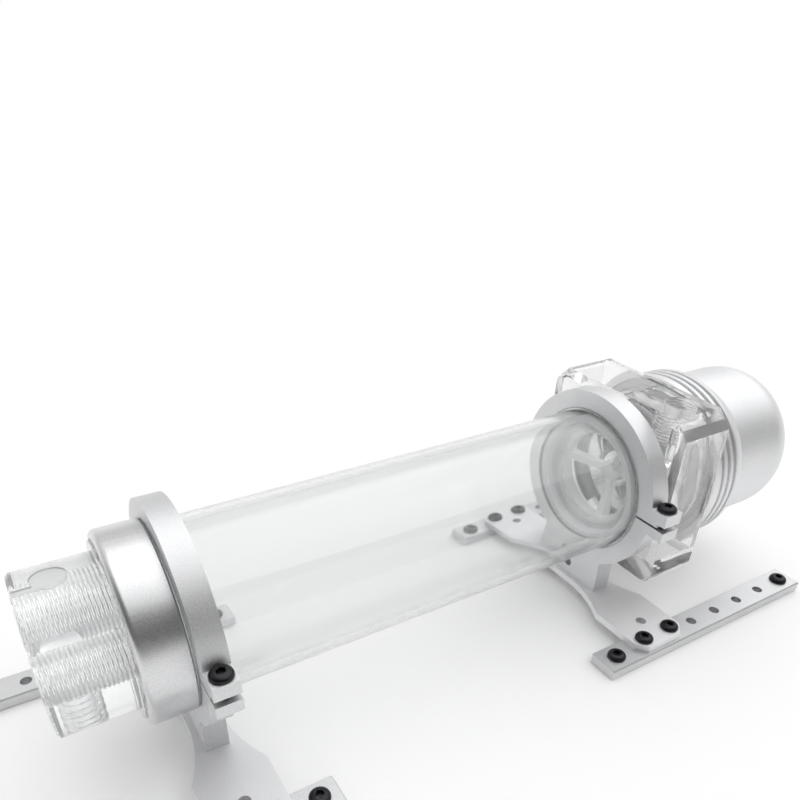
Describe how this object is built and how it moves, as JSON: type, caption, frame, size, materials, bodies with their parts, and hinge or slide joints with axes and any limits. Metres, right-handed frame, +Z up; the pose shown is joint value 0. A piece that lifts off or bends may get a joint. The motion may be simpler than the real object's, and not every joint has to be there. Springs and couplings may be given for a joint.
{
  "type": "water cooling reservoir",
  "caption": "Clear tube reservoir lying in two split clamp rings on drilled rails, with a ported end cap and a circulation pump in a clear block with a domed metal cover.",
  "frame": {"origin": "under the middle of the assembly, at the underside of the rails", "axes": "+X along the tube towards the pump, +Z up"},
  "size_m": [0.365, 0.118, 0.096],
  "materials": {
    "satin_aluminium": "bead-blasted satin, clear anodised",
    "clear_acrylic": "clear polished acrylic",
    "black_steel": "black oxide",
    "white_silicone": "moulded, milky satin",
    "white_plastic": "moulded, fine grain",
    "white_ceramic": "polished"
  },
  "bodies": {
    "frame": {"rail_front_right": "satin_aluminium", "rail_rear_right": "satin_aluminium", "foot_right": "satin_aluminium", "clamp_ring_right": "satin_aluminium", "ring_liner_right": "clear_acrylic", "rail_front_left": "satin_aluminium", "rail_rear_left": "satin_aluminium", "foot_left": "satin_aluminium", "clamp_ring_left": "satin_aluminium", "ring_liner_left": "clear_acrylic", "rail_screws": "black_steel", "foot_screws": "black_steel", "clamp_screws": "black_steel", "stem_screws": "black_steel", "tube": "clear_acrylic", "tube_insert_left": "clear_acrylic", "tube_insert_right": "clear_acrylic", "pump_top": "clear_acrylic", "inlet_spider": "clear_acrylic", "tube_gasket_left": "white_silicone", "tube_gasket_right": "white_silicone", "pump_seal": "white_silicone", "collar": "satin_aluminium", "cover_ring": "satin_aluminium", "pump_dome": "satin_aluminium", "pump_can": "white_plastic", "bearing_ball": "white_ceramic"},
    "cap_seal": {"cap_o_ring": "white_silicone"},
    "cap": {"end_cap": "clear_acrylic"},
    "pump_rotor": {"rotor": "white_plastic"}
  },
  "joints": [
    {"name": "cap_travel", "type": "slide", "parent": "frame", "child": "cap_seal", "axis": [-1, 0, 0], "range_m": [0, 0.008]},
    {"name": "cap_turn", "type": "hinge", "parent": "cap_seal", "child": "cap", "pos_m": [-0.1125, 0, 0.0575], "axis": [-1, 0, 0], "range_deg": [0, 1440]},
    {"name": "rotor_spin", "type": "hinge", "parent": "frame", "child": "pump_rotor", "pos_m": [0.1225, 0, 0.0575], "axis": [1, 0, 0], "continuous": true}
  ],
  "couplings": [
    {"joint": "cap_travel", "follows": "cap_turn", "m_per_rad": 0.00031831}
  ]
}
